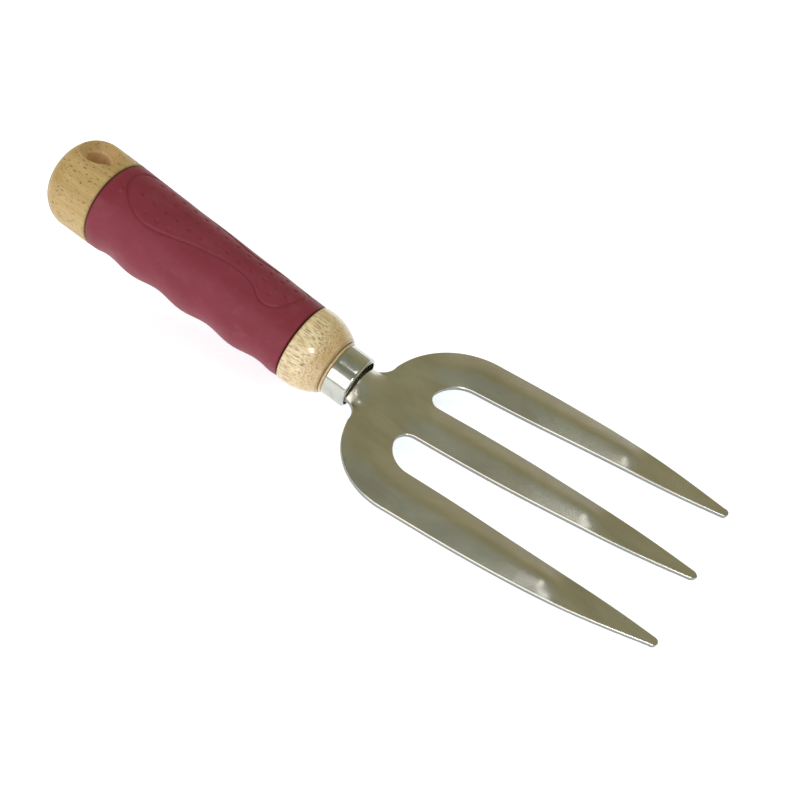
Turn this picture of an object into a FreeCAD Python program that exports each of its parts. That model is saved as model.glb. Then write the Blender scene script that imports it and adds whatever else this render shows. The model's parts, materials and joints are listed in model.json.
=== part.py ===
import FreeCAD, Part
import math
import os
import Sketcher
from FreeCAD import Placement, Rotation, Vector

# Stainless hand fork with a turned wooden handle and a soft grip sleeve.
# Every piece is drawn in the handle frame: X runs along the handle axis toward the tines with
# zero at the front of the ferrule, Y is the left side, Z is up.  seat() then lays the finished
# tool nose-down on the ground: tine tips and the front of the wooden bulb touch z = 0.

doc = FreeCAD.newDocument("hand_fork")
sheet = doc.addObject("Spreadsheet::Sheet", "sizes")

SIZES = [
    # overall pose
    ("rest_pitch", 14.6, "nose-down angle of the handle axis when the tool lies on the ground, degrees"),
    ("rest_lift", 10.75, "height of the ferrule front centre above the ground"),
    ("rest_shift", 0.72, "forward shift that puts the origin under the middle of the tool"),
    ("handle_roll", -13.0, "turn of the handle about its axis relative to the fork head, degrees"),
    # fork head
    ("sheet_thick", 2.0, "stainless sheet of the fork head"),
    ("plane_drop", 0.33, "height of the plate plane at the ferrule front"),
    ("plane_slope", 0.193, "rise of the plate plane per mm toward the tips"),
    ("neck_back", -4.0, "rear edge of the neck inside the ferrule"),
    ("neck_half", 9.2, "half width of the neck"),
    ("neck_rise", 5.25, "height of the neck arch above the plate plane"),
    ("neck_fade_start", 0.5, "where the neck arch starts to sink into the palm"),
    ("neck_fade", 9.0, "length over which the neck arch sinks"),
    ("arch_rise", 2.0, "height of the stiffening arch of each tine"),
    ("ridge_soft", 0.35, "softness of the arch ridge, as a share of the half width"),
    ("mid_arch_start", 20.0, "where the middle arch starts to rise from the palm"),
    ("mid_arch_ramp", 14.0, "length over which the middle arch rises"),
    ("mid_nose", 107.0, "front end of the middle arch"),
    ("side_nose", 107.5, "front end of the outer arches"),
    ("nose_length", 11.5, "length over which an arch ends at its nose"),
    ("round_x", 38.5, "centre, forward, of the turn that carries the outer arch round the shoulder"),
    ("round_y", 12.0, "centre, sideways, of that turn"),
    ("round_end", 170.0, "turn at which the outer arch has faded out in the palm, degrees"),
    ("round_fade", 50.0, "turn over which it fades, degrees"),
    ("shoulder_half", 41.9, "half width across the shoulders"),
    ("slot_inner", 8.5, "half width of the middle tine at the crotch"),
    ("slot_outer", 23.8, "outer side of each slot at the crotch"),
    ("crotch_front", 25.9, "nearest point of each slot to the ferrule"),
    ("tip_side", 138.4, "end of the outer tines"),
    ("tip_middle", 139.3, "end of the middle tine"),
    ("tip_round", 1.8, "radius of the tine ends"),
    # tang
    ("tang_radius", 3.5, "round steel tang"),
    ("tang_front", 1.6, "front end of the tang under the neck"),
    ("tang_back", -70.0, "rear end of the tang inside the handle"),
    ("tang_chamfer", 1.0, "chamfer on both ends of the tang"),
    ("weld_leg", 1.8, "weld bead leg"),
    ("weld_lead", 1.2, "length of the weld past the front of the tang"),
    ("weld_low", 1.4, "lower limit of the weld above the handle axis"),
    ("weld_height", 6.0, "height of the zone that the weld fills"),
    ("weld_width", 16.0, "width of the zone that the weld fills"),
    # ferrule
    ("ferrule_radius", 11.0, "outside radius of the ferrule"),
    ("ferrule_wall", 1.0, "wall of the ferrule tube"),
    ("ferrule_front", 0.6, "front rim of the ferrule"),
    ("ferrule_back", -9.4, "rear rim of the ferrule"),
    ("ferrule_nose", 1.1, "outer rounding of the curled front rim"),
    ("ferrule_curl", 0.4, "how far the front rim is curled inward"),
    ("ferrule_edge", 0.4, "outer rounding of the rear rim"),
    ("ferrule_mouth", 0.2, "inner rounding of the front rim"),
    # handle
    ("bore_radius", 4.0, "bore for the tang"),
    ("bore_back", -72.0, "bottom of the tang bore"),
    ("tenon_front", -4.6, "front face of the wooden tenon inside the ferrule"),
    ("lip_radius", 11.5, "wooden lip behind the ferrule"),
    ("lip_back", -10.5, "rear of the wooden lip"),
    ("lip_edge", 0.15, "broken rear edge of the wooden lip"),
    ("cove_radius", 11.0, "bottom of the cove behind the lip"),
    ("bulb_front", -11.4, "front of the bulb"),
    ("bulb_front_radius", 12.7, "bulb radius at its front"),
    ("bulb_arc", 20.8, "radius of the bulb outline"),
    ("bulb_rear", -26.5, "rear face of the bulb"),
    ("bulb_rear_radius", 16.27, "bulb radius at its rear face"),
    ("butt_front", -120.2, "front face of the butt"),
    ("butt_front_radius", 18.8, "butt radius at its front face"),
    ("butt_radius", 18.9, "radius of the butt"),
    ("butt_bend", -134.03, "station where the butt starts to round"),
    ("butt_corner", 10.5, "corner radius of the butt"),
    ("butt_knee", -142.86, "station where the corner of the butt meets its crown"),
    ("butt_knee_radius", 14.09, "radius at that station"),
    ("butt_crown", 26.0, "crown radius of the butt end"),
    ("butt_back", -147.0, "rear end of the handle"),
    ("hole_station", -132.8, "station of the hanging hole"),
    ("hole_radius", 4.6, "radius of the hanging hole"),
    ("hole_sink", 5.0, "depth and width of the countersink at both mouths of the hole"),
    ("hole_over", 2.0, "how far the hole tool reaches past the surface"),
    # grip sleeve
    ("sleeve_front", -27.1, "front end of the grip sleeve"),
    ("sleeve_back", -119.6, "rear end of the grip sleeve"),
    ("sleeve_front_radius", 16.15, "sleeve radius at the front"),
    ("sleeve_back_radius", 18.7, "sleeve radius at the rear"),
    ("sleeve_wall", 2.6, "sleeve wall between the finger waves"),
    ("wave_fade", 7.0, "length over which the finger waves fade out at both ends"),
    ("wave_height", 0.78, "half height of the finger waves on the underside"),
    ("wave_pitch", 24.5, "distance from finger to finger"),
    ("wave_crest", -49.5, "station of the first crest"),
    ("sleeve_edge", 0.8, "rounding of the sleeve ends"),
]
for row, (alias, value, note) in enumerate(SIZES, start=1):
    sheet.set("A%d" % row, note)
    sheet.set("B%d" % row, str(value))
    sheet.setAlias("B%d" % row, alias)
doc.recompute()


def size(alias):
    return float(sheet.get(alias))


def seat(item, rolled=False):
    """Place a finished piece: nose-down on the ground, the handle pieces turned about the axis."""
    pose = Placement(
        Vector(size("rest_shift"), 0, size("rest_lift")),
        Rotation(Vector(0, 1, 0), size("rest_pitch")),
    )
    if rolled:
        pose = pose * Placement(Vector(0, 0, 0), Rotation(Vector(1, 0, 0), size("handle_roll")))
    item.Placement = pose


def new_body(label):
    body = doc.addObject("PartDesign::Body", label)
    body.Label = label
    return body


def new_sketch(body, name, plane):
    origin_plane = [f for f in body.Origin.OriginFeatures if f.Role == plane][0]
    sketch = body.newObject("Sketcher::SketchObject", name)
    sketch.AttachmentSupport = [(origin_plane, "")]
    sketch.MapMode = "FlatFace"
    return sketch


def pin(sketch, geo, end, across, up):
    """Hold one end of a sketch segment at two sheet expressions."""
    for kind, text in (("DistanceX", across), ("DistanceY", up)):
        if text == "0":
            axis = -2 if kind == "DistanceX" else -1
            sketch.addConstraint(Sketcher.Constraint("PointOnObject", geo, end, axis))
            continue
        point = sketch.getPoint(geo, end)
        now = point.x if kind == "DistanceX" else point.y
        index = sketch.addConstraint(Sketcher.Constraint(kind, -1, 1, geo, end, now))
        sketch.setExpression("Constraints[%d]" % index, text)


def value_of(text):
    """Number behind a sheet expression made of names, + - * and brackets."""
    return float(sheet.evalExpression(text.replace("sizes.", "")))


def closed_profile(sketch, corners):
    """Closed chain of lines and arcs.  Each corner is (across, up, bulge): sheet expressions for
    the point, and the radius expression of the arc that leads to the next corner, or None.
    A radius that starts with '-' bends the arc the other way."""
    points = [Vector(value_of(c[0]), value_of(c[1]), 0) for c in corners]
    count = len(corners)
    for i in range(count):
        start = points[i]
        stop = points[(i + 1) % count]
        bulge = corners[i][2]
        if bulge is None:
            sketch.addGeometry(Part.LineSegment(start, stop), False)
            continue
        side = -1.0 if bulge.startswith("-") else 1.0
        radius = value_of(bulge.lstrip("-"))
        chord = stop - start
        sag = radius - math.sqrt(radius ** 2 - chord.Length ** 2 / 4.0)
        normal = Vector(-chord.y, chord.x, 0).normalize()
        middle = (start + stop) * 0.5 + normal * (sag * side)
        sketch.addGeometry(Part.Arc(start, middle, stop), False)
    for i in range(count):
        j = (i + 1) % count
        end = end_of(sketch, i, points[j])
        begin = end_of(sketch, j, points[j])
        sketch.addConstraint(Sketcher.Constraint("Coincident", i, end, j, begin))
    for i in range(count):
        if corners[i][2] is not None:
            radius = value_of(corners[i][2].lstrip("-"))
            index = sketch.addConstraint(Sketcher.Constraint("Radius", i, radius))
            sketch.setExpression("Constraints[%d]" % index, corners[i][2].lstrip("-"))
    for i in range(count):
        pin(sketch, i, end_of(sketch, i, points[i]), corners[i][0], corners[i][1])


def end_of(sketch, geo, point):
    """1 or 2: the end of the segment that lies at the point."""
    first = sketch.getPoint(geo, 1)
    second = sketch.getPoint(geo, 2)
    return 1 if (first - point).Length < (second - point).Length else 2


def revolve(body, sketch, name):
    turn = body.newObject("PartDesign::Revolution", name)
    turn.Profile = sketch
    turn.ReferenceAxis = (sketch, ["H_Axis"])
    turn.Angle = 360.0
    body.Tip = turn
    return turn


def smooth(t):
    """0 below zero, 1 above one, and an even S between."""
    t = min(1.0, max(0.0, t))
    return t * t * (3.0 - 2.0 * t)


# ---------------------------------------------------------------- fork head
# Plan outline of one side, front view from above, then mirrored.  The tine sides are gentle curves.
OUTER_SIDE = [(62.0, 41.7), (89.0, 40.5), (109.0, 38.4), (124.0, 35.75)]
INNER_SIDE = [(124.0, 28.2), (102.0, 26.8), (79.0, 25.6), (57.0, 24.4)]
MIDDLE_SIDE = [(55.0, 8.35), (73.0, 7.75), (91.0, 6.7), (108.0, 5.5), (124.0, 3.75)]
MIDDLE_WIDE_TO = 46.0
SHOULDER_X = 40.0
SLOT_X = 38.0
NECK_SPARE = 0.2
# Points of the arcs between those curves: station, and offset from the width they belong to.
NECK_END_X = 0.2
FLARE_MIDDLE = (5.2, 2.1)
FLARE_END = (7.1, 7.0)
SHOULDER_MIDDLE = (18.0, -7.1)
SLOT_BEND = (29.7, -3.35)
SLOT_INNER_X = 31.0
# Round ends: distance back from the front of the tine or slot, and distance from the axis.
SIDE_TIP_OUTER = (2.2, 33.2)
SIDE_TIP_FRONT = 31.2
SIDE_TIP_INNER = (2.0, 29.55)
SLOT_TURN = (-0.15, 13.6)
SLOT_NEAR = (27.5, 10.0)
MIDDLE_TIP_BACK = 1.7
MIDDLE_TIP_ARC = 0.55
SLOPE_STEP = 0.4
# Grid of the pressed surfaces: start, end and number of stations, past the blank on every side.
GRID_ALONG = (-8.0, 144.0, 77)
GRID_ACROSS = (-46.0, 46.0, 65)
BLANK_LOW = -20.0
BLANK_HEIGHT = 80.0


def curve(points):
    spline = Part.BSplineCurve()
    spline.interpolate([Vector(x, y, 0) for x, y in points])
    return spline.toShape()


def arc(start, middle, stop):
    return Part.Arc(Vector(*start, 0), Vector(*middle, 0), Vector(*stop, 0)).toShape()


def line(start, stop):
    return Part.makeLine(Vector(*start, 0), Vector(*stop, 0))


def side_edges():
    """Edges of the left half, from the rear of the neck to the tip of the middle tine."""
    neck = size("neck_half")
    wide = size("shoulder_half")
    outer = size("slot_outer")
    inner = size("slot_inner")
    crotch = size("crotch_front")
    tip = size("tip_side")
    mid_tip = size("tip_middle")
    r = size("tip_round")
    neck_end = (NECK_END_X, neck)
    flare_middle = (FLARE_MIDDLE[0], neck + FLARE_MIDDLE[1])
    flare_end = (FLARE_END[0], neck + FLARE_END[1])
    shoulder_middle = (SHOULDER_MIDDLE[0], wide + SHOULDER_MIDDLE[1])
    shoulder_end = (SHOULDER_X, wide)
    side_end = (tip - SIDE_TIP_OUTER[0], SIDE_TIP_OUTER[1])
    tip_end = (tip - SIDE_TIP_INNER[0], SIDE_TIP_INNER[1])
    slot_start = (SLOT_X, outer)
    slot_bend = (SLOT_BEND[0], outer + SLOT_BEND[1])
    slot_turn = (crotch - SLOT_TURN[0], SLOT_TURN[1])
    slot_end = (SLOT_INNER_X, inner)
    mid_end = (mid_tip - MIDDLE_TIP_BACK, r)
    mid_round = (mid_tip - MIDDLE_TIP_ARC, MIDDLE_TIP_ARC * r)
    return [
        line((size("neck_back"), 0.0), (size("neck_back"), neck)),
        line((size("neck_back"), neck), neck_end),
        arc(neck_end, flare_middle, flare_end),
        arc(flare_end, shoulder_middle, shoulder_end),
        curve([shoulder_end] + OUTER_SIDE + [side_end]),
        arc(side_end, (tip, SIDE_TIP_FRONT), tip_end),
        curve([tip_end] + INNER_SIDE + [slot_start]),
        arc(slot_start, slot_bend, slot_turn),
        arc(slot_turn, SLOT_NEAR, slot_end),
        curve([slot_end] + MIDDLE_SIDE + [mid_end]),
        arc(mid_end, mid_round, (mid_tip, 0.0)),
    ]


def between(x, table):
    """Straight-line reading of a short table of (x, value)."""
    if x <= table[0][0]:
        return table[0][1]
    for (x0, y0), (x1, y1) in zip(table, table[1:]):
        if x <= x1:
            return y0 + (y1 - y0) * (x - x0) / (x1 - x0)
    return table[-1][1]


def dome(across):
    """Cross profile of the neck: one on the ridge, zero at the edges."""
    return max(0.0, 1.0 - across * across)


def roof(across):
    """Cross profile of a tine: two even flanks that meet in a soft ridge."""
    soft = size("ridge_soft")
    edge = math.hypot(1.0, soft)
    return max(0.0, (edge - math.hypot(across, soft)) / (edge - soft))


def nose(x, end):
    """One along the arch, falling to zero at its front end."""
    return smooth((end - x) / size("nose_length"))


def rise(x, y):
    """Height of the pressed form above the plate plane."""
    y = abs(y)
    # neck arch: level with the handle axis inside the ferrule, fading into the palm in front of it
    level = size("neck_rise") - size("plane_slope") * min(x, 0.0)
    sunk = smooth((x - size("neck_fade_start")) / size("neck_fade"))
    total = level * dome(y / (size("neck_half") + NECK_SPARE)) * (1.0 - sunk)
    # middle tine
    inner = size("slot_inner")
    half = between(x, [(MIDDLE_WIDE_TO, inner)] + MIDDLE_SIDE[1:] + [(size("tip_middle"), size("tip_round"))])
    raised = smooth((x - size("mid_arch_start")) / size("mid_arch_ramp"))
    total += size("arch_rise") * roof(y / half) * raised * nose(x, size("mid_nose"))
    # outer tine, and its arch carried round the shoulder about the slot end
    outer_side = [(SHOULDER_X, size("shoulder_half"))] + OUTER_SIDE + [(size("tip_side"), SIDE_TIP_OUTER[1])]
    inner_side = [(SLOT_X, size("slot_outer"))] + INNER_SIDE[::-1] + [(size("tip_side"), SIDE_TIP_INNER[1])]
    centre_x = size("round_x")
    centre_y = size("round_y")
    if x > centre_x:
        high = between(x, outer_side)
        low = between(x, inner_side)
        across = (y - (high + low) / 2.0) / ((high - low) / 2.0)
        total += size("arch_rise") * roof(across) * nose(x, size("side_nose"))
    else:
        reach = math.hypot(x - centre_x, y - centre_y)
        turn = math.degrees(math.atan2(y - centre_y, x - centre_x)) % 360.0
        low = size("slot_outer") - centre_y
        high = size("shoulder_half") - centre_y
        across = (reach - (high + low) / 2.0) / ((high - low) / 2.0)
        total += size("arch_rise") * roof(across) * smooth((size("round_end") - turn) / size("round_fade"))
    return total


def top_point(x, y):
    return Vector(x, y, size("plane_drop") + size("plane_slope") * x + rise(x, y))


def under_point(x, y):
    """The top surface moved in by one sheet thickness along its own normal."""
    along = top_point(x + SLOPE_STEP, y) - top_point(x - SLOPE_STEP, y)
    across = top_point(x, y + SLOPE_STEP) - top_point(x, y - SLOPE_STEP)
    return top_point(x, y) - along.cross(across).normalize() * size("sheet_thick")


def skin(point_at, xs, ys):
    surface = Part.BSplineSurface()
    surface.interpolate([[point_at(x, y) for y in ys] for x in xs])
    return surface


def steps(start, stop, count):
    return [start + (stop - start) * i / (count - 1.0) for i in range(count)]


def formed_sheet():
    """Solid between the pressed top surface and its offset."""
    xs = steps(*GRID_ALONG)
    ys = steps(*GRID_ACROSS)
    top = skin(top_point, xs, ys)
    under = skin(under_point, xs, ys)
    faces = [top.toShape(), under.toShape()]
    edge_pairs = [
        (top.uIso(0.0), under.uIso(0.0)),
        (top.uIso(1.0), under.uIso(1.0)),
        (top.vIso(0.0), under.vIso(0.0)),
        (top.vIso(1.0), under.vIso(1.0)),
    ]
    for upper, lower in edge_pairs:
        faces.append(Part.makeRuledSurface(upper.toShape(), lower.toShape()))
    shell = Part.makeShell(faces)
    shell.sewShape()
    solid = Part.makeSolid(Part.Shell(shell.Faces))
    if solid.Volume < 0:
        solid.reverse()
    return solid


def fork_head_shape():
    left = side_edges()
    mirror = [edge.mirror(Vector(0, 0, 0), Vector(0, 1, 0)) for edge in left]
    wire = Part.Wire(Part.__sortEdges__(left + mirror))
    blank = Part.Face(wire).extrude(Vector(0, 0, BLANK_HEIGHT))
    blank.translate(Vector(0, 0, BLANK_LOW))
    return formed_sheet().common(blank)


fork_shape = fork_head_shape()
if len(fork_shape.Solids) != 1:
    raise RuntimeError("fork head is %d solids" % len(fork_shape.Solids))
fork_head = doc.addObject("Part::Feature", "fork_head")
fork_head.Label = "fork_head"
fork_head.Shape = fork_shape.Solids[0]

# The same form left in the handle frame, as the counterpart of the weld.
fork_form = doc.addObject("Part::Feature", "fork_form")
fork_form.Shape = fork_shape.Solids[0].copy()

# ---------------------------------------------------------------- tang
tang = new_body("tang")
tang_profile = new_sketch(tang, "tang_profile", "XZ_Plane")
closed_profile(tang_profile, [
    ("sizes.tang_back", "0", None),
    ("sizes.tang_back", "sizes.tang_radius - sizes.tang_chamfer", None),
    ("sizes.tang_back + sizes.tang_chamfer", "sizes.tang_radius", None),
    ("sizes.tang_front - sizes.tang_chamfer", "sizes.tang_radius", None),
    ("sizes.tang_front", "sizes.tang_radius - sizes.tang_chamfer", None),
    ("sizes.tang_front", "0", None),
])
revolve(tang, tang_profile, "tang_turn")

# ---------------------------------------------------------------- ferrule
ferrule = new_body("ferrule")
ferrule_profile = new_sketch(ferrule, "ferrule_profile", "XZ_Plane")
rim = "sizes.ferrule_edge"
nose_round = "sizes.ferrule_nose"
mouth_round = "sizes.ferrule_mouth"
inside = "sizes.ferrule_radius - sizes.ferrule_wall"
closed_profile(ferrule_profile, [
    ("sizes.ferrule_back", inside, None),
    ("sizes.ferrule_back", "sizes.ferrule_radius - " + rim, rim),
    ("sizes.ferrule_back + " + rim, "sizes.ferrule_radius", None),
    ("sizes.ferrule_front - " + nose_round, "sizes.ferrule_radius", nose_round),
    ("sizes.ferrule_front", "sizes.ferrule_radius - " + nose_round, None),
    ("sizes.ferrule_front", inside + " - sizes.ferrule_curl + " + mouth_round, mouth_round),
    ("sizes.ferrule_front - " + mouth_round, inside + " - sizes.ferrule_curl", None),
    ("sizes.ferrule_front - " + nose_round, inside + " - sizes.ferrule_curl", None),
    ("sizes.ferrule_front - " + nose_round + " - sizes.ferrule_curl", inside, None),
])
revolve(ferrule, ferrule_profile, "ferrule_turn")

# ---------------------------------------------------------------- handle
handle = new_body("handle")
handle_profile = new_sketch(handle, "handle_profile", "XZ_Plane")
recess_rear = "sizes.sleeve_back_radius - sizes.sleeve_wall"
recess_front = "sizes.sleeve_front_radius - sizes.sleeve_wall"
closed_profile(handle_profile, [
    ("sizes.butt_back", "0", "sizes.butt_crown"),
    ("sizes.butt_knee", "sizes.butt_knee_radius", "sizes.butt_corner"),
    ("sizes.butt_bend", "sizes.butt_radius", None),
    ("sizes.butt_front", "sizes.butt_front_radius", None),
    ("sizes.butt_front", recess_rear, None),
    ("sizes.bulb_rear", recess_front, None),
    ("sizes.bulb_rear", "sizes.bulb_rear_radius", "sizes.bulb_arc"),
    ("sizes.bulb_front", "sizes.bulb_front_radius", None),
    ("sizes.lip_back - sizes.lip_edge", "sizes.cove_radius", None),
    ("sizes.lip_back", "sizes.lip_radius - sizes.lip_edge", None),
    ("sizes.lip_back + sizes.lip_edge", "sizes.lip_radius", None),
    ("sizes.ferrule_back", "sizes.lip_radius", None),
    ("sizes.ferrule_back", inside, None),
    ("sizes.tenon_front", inside, None),
    ("sizes.tenon_front", "sizes.bore_radius", None),
    ("sizes.bore_back", "sizes.bore_radius", None),
    ("sizes.bore_back", "0", None),
])
revolve(handle, handle_profile, "handle_turn")

# Hanging hole: a straight bore across the butt, countersunk at 45 degrees on both sides.
hole_profile = new_sketch(handle, "hole_profile", "XZ_Plane")
hole_profile.AttachmentOffset = Placement(Vector(size("hole_station"), 0, 0), Rotation())
hole_profile.setExpression("AttachmentOffset.Base.x", "sizes.hole_station")
throat_end = "sizes.butt_radius - sizes.hole_sink"
tool_end = "sizes.butt_radius + sizes.hole_over"
tool_mouth = "sizes.hole_radius + sizes.hole_sink + sizes.hole_over"
closed_profile(hole_profile, [
    ("0", "0 - sizes.butt_radius - sizes.hole_over", None),
    (tool_mouth, "0 - sizes.butt_radius - sizes.hole_over", None),
    ("sizes.hole_radius", "0 - sizes.butt_radius + sizes.hole_sink", None),
    ("sizes.hole_radius", throat_end, None),
    (tool_mouth, tool_end, None),
    ("0", tool_end, None),
])
hanging_hole = handle.newObject("PartDesign::Groove", "hanging_hole")
hanging_hole.Profile = hole_profile
hanging_hole.ReferenceAxis = (hole_profile, ["V_Axis"])
hanging_hole.Angle = 360.0
handle.Tip = hanging_hole

# ---------------------------------------------------------------- grip sleeve
RING_POINTS = 16
MIDDLE_RINGS = 22
END_ZONE = 3.0
END_SHARES = [0.0, 0.1, 0.35, 1.0]


def ease_edge(station):
    """How much the sleeve end is rounded away at a station."""
    edge = size("sleeve_edge")
    inset = min(size("sleeve_front") - station, station - size("sleeve_back"))
    if inset >= edge:
        return 0.0
    return edge - math.sqrt(edge ** 2 - (edge - inset) ** 2)


def sleeve_radius(station, angle):
    """Outside radius: a slight taper with finger waves that fade toward the top."""
    front = size("sleeve_front")
    back = size("sleeve_back")
    share = (front - station) / (front - back)
    base = size("sleeve_front_radius") + share * (size("sleeve_back_radius") - size("sleeve_front_radius"))
    under = ((1.0 - math.cos(angle)) / 2.0) ** 1.2
    inset = min(front - station, station - back)
    phase = 2.0 * math.pi * (station - size("wave_crest")) / size("wave_pitch")
    wave = size("wave_height") * under * smooth(inset / size("wave_fade")) * math.cos(phase)
    return base + wave - ease_edge(station)


def sleeve_ring(station):
    points = []
    for i in range(RING_POINTS):
        angle = 2.0 * math.pi * i / RING_POINTS
        reach = sleeve_radius(station, angle)
        points.append(Vector(station, reach * math.sin(angle), reach * math.cos(angle)))
    ring = Part.BSplineCurve()
    ring.interpolate(points, PeriodicFlag=True)
    return Part.Wire([ring.toShape()])


def sleeve_stations():
    edge = size("sleeve_edge")
    front = size("sleeve_front")
    back = size("sleeve_back")
    ends = [share * edge for share in END_SHARES]
    middle = steps(front - END_ZONE, back + END_ZONE, MIDDLE_RINGS)
    return [front - e for e in ends] + middle + [back + e for e in reversed(ends)]


sleeve_skin = doc.addObject("Part::Feature", "sleeve_skin")
sleeve_skin.Shape = Part.makeLoft([sleeve_ring(s) for s in sleeve_stations()], True, False)

sleeve_core = doc.addObject("Part::Cone", "sleeve_core")
sleeve_core.Radius1 = size("sleeve_front_radius") - size("sleeve_wall")
sleeve_core.Radius2 = size("sleeve_back_radius") - size("sleeve_wall")
sleeve_core.Height = size("bulb_rear") - size("butt_front")
sleeve_core.setExpression("Radius1", "sizes.sleeve_front_radius - sizes.sleeve_wall")
sleeve_core.setExpression("Radius2", "sizes.sleeve_back_radius - sizes.sleeve_wall")
sleeve_core.setExpression("Height", "sizes.bulb_rear - sizes.butt_front")
sleeve_core.Placement = Placement(Vector(size("bulb_rear"), 0, 0), Rotation(Vector(0, 1, 0), -90))

grip_sleeve = doc.addObject("Part::Cut", "grip_sleeve")
grip_sleeve.Label = "grip_sleeve"
grip_sleeve.Base = sleeve_skin
grip_sleeve.Tool = sleeve_core

# ---------------------------------------------------------------- adhesive round the tang
adhesive_fill = doc.addObject("Part::Cylinder", "adhesive_fill")
adhesive_fill.setExpression("Radius", "sizes.bore_radius")
adhesive_fill.setExpression("Height", "sizes.tenon_front - sizes.bore_back")
adhesive_fill.Placement = Placement(Vector(size("bore_back"), 0, 0), Rotation(Vector(0, 1, 0), 90))

tang_room = doc.addObject("Part::Cylinder", "tang_room")
tang_room.setExpression("Radius", "sizes.tang_radius")
tang_room.setExpression("Height", "sizes.tang_front - sizes.tang_back")
tang_room.Placement = Placement(Vector(size("tang_back"), 0, 0), Rotation(Vector(0, 1, 0), 90))

tang_adhesive = doc.addObject("Part::Cut", "tang_adhesive")
tang_adhesive.Label = "tang_adhesive"
tang_adhesive.Base = adhesive_fill
tang_adhesive.Tool = tang_room

# ---------------------------------------------------------------- weld between tang and neck
weld_blank = doc.addObject("Part::Cylinder", "weld_blank")
weld_blank.setExpression("Radius", "sizes.tang_radius + sizes.weld_leg")
weld_blank.setExpression("Height", "sizes.tang_front + sizes.weld_lead - sizes.neck_back")
weld_blank.Placement = Placement(Vector(size("neck_back"), 0, 0), Rotation(Vector(0, 1, 0), 90))

weld_zone = doc.addObject("Part::Box", "weld_zone")
weld_zone.setExpression("Length", "sizes.tang_front + sizes.weld_lead - sizes.neck_back")
weld_zone.setExpression("Width", "sizes.weld_width")
weld_zone.setExpression("Height", "sizes.weld_height")
weld_corner = Vector(size("neck_back"), -size("weld_width") / 2.0, size("weld_low"))
weld_zone.Placement = Placement(weld_corner, Rotation())

weld_upper = doc.addObject("Part::MultiCommon", "weld_upper")
weld_upper.Shapes = [weld_blank, weld_zone]

welded_parts = doc.addObject("Part::MultiFuse", "welded_parts")
welded_parts.Shapes = [tang_room, fork_form]

weld_bead = doc.addObject("Part::Cut", "weld_bead")
weld_bead.Base = weld_upper
weld_bead.Tool = welded_parts
doc.recompute()

# Only the metal under the sheet is weld; slivers above the neck are left out.
under_neck = [s for s in weld_bead.Shape.Solids if s.CenterOfMass.z < size("tang_radius")]
tang_weld = doc.addObject("Part::Feature", "tang_weld")
tang_weld.Label = "tang_weld"
tang_weld.Shape = max(under_neck, key=lambda solid: solid.Volume).copy()

# ---------------------------------------------------------------- placement, checks and export
pieces = [fork_head, tang, tang_weld, tang_adhesive, ferrule, handle, grip_sleeve]
for piece in pieces:
    seat(piece, rolled=piece in (handle, grip_sleeve))
doc.recompute()

for item in doc.Objects:
    if "Invalid" in item.State or "Error" in item.State:
        raise RuntimeError("%s is %s" % (item.Label, item.State))
os.makedirs("parts", exist_ok=True)
for piece in pieces:
    shape = piece.Shape
    if shape.isNull() or not shape.isValid():
        raise RuntimeError("%s has a bad shape" % piece.Label)
    shape.exportStep("parts/%s.step" % piece.Label)
    print(piece.Label, "%.0f mm3" % shape.Volume)
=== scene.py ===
import json
import math

import bmesh
import bpy
import numpy as np
from mathutils import Matrix, Vector
from mathutils.geometry import delaunay_2d_cdt
from mathutils.kdtree import KDTree


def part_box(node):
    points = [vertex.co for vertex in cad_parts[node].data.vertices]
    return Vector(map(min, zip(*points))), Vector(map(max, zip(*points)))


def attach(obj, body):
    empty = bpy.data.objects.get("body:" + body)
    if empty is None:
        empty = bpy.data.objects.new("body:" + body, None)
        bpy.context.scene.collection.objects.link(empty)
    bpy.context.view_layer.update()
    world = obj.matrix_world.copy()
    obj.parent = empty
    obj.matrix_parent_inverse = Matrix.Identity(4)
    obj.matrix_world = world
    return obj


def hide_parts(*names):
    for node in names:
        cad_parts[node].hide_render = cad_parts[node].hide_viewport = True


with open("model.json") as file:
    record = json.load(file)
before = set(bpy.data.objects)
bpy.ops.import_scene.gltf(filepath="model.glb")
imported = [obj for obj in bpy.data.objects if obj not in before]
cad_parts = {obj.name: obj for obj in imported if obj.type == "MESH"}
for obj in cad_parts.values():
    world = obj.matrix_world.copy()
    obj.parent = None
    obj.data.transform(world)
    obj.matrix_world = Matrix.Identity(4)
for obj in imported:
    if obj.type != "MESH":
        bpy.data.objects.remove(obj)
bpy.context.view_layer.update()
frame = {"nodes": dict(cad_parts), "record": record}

# Stainless hand fork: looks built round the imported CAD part.
# Every shape is written in millimetres in the handle frame (X along the handle toward the tines,
# zero at the ferrule front, Z up) and set in place by the pose read from the frame.

MM = 0.001

# ------------------------------------------------------------------ sizes, as in the CAD sheet
FERRULE_FRONT = 0.6
FERRULE_BACK = -9.4
FERRULE_RADIUS = 11.0
FERRULE_WALL = 1.0
FERRULE_NOSE = 1.1
FERRULE_CURL = 0.4
FERRULE_EDGE = 0.4
FERRULE_MOUTH = 0.2

SHEET = 2.0
PLANE_DROP = 0.33
PLANE_SLOPE = 0.193
NECK_BACK = -4.0
NECK_HALF = 9.2
NECK_RISE = 5.25
NECK_FADE_START = 0.5
NECK_FADE = 9.0
ARCH_RISE = 2.0
RIDGE_SOFT = 0.35
MID_ARCH_START = 20.0
MID_ARCH_RAMP = 14.0
MIDDLE_NOSE = 107.0
SIDE_NOSE = 107.5
NOSE_LENGTH = 11.5
ROUND_X = 38.5
ROUND_Y = 12.0
ROUND_END = 170.0
ROUND_FADE = 50.0
SHOULDER_HALF = 41.9
SLOT_INNER = 8.5
SLOT_OUTER = 23.8
CROTCH_FRONT = 25.9
TIP_SIDE = 138.4
TIP_MIDDLE = 139.3
TIP_ROUND = 1.8

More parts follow.
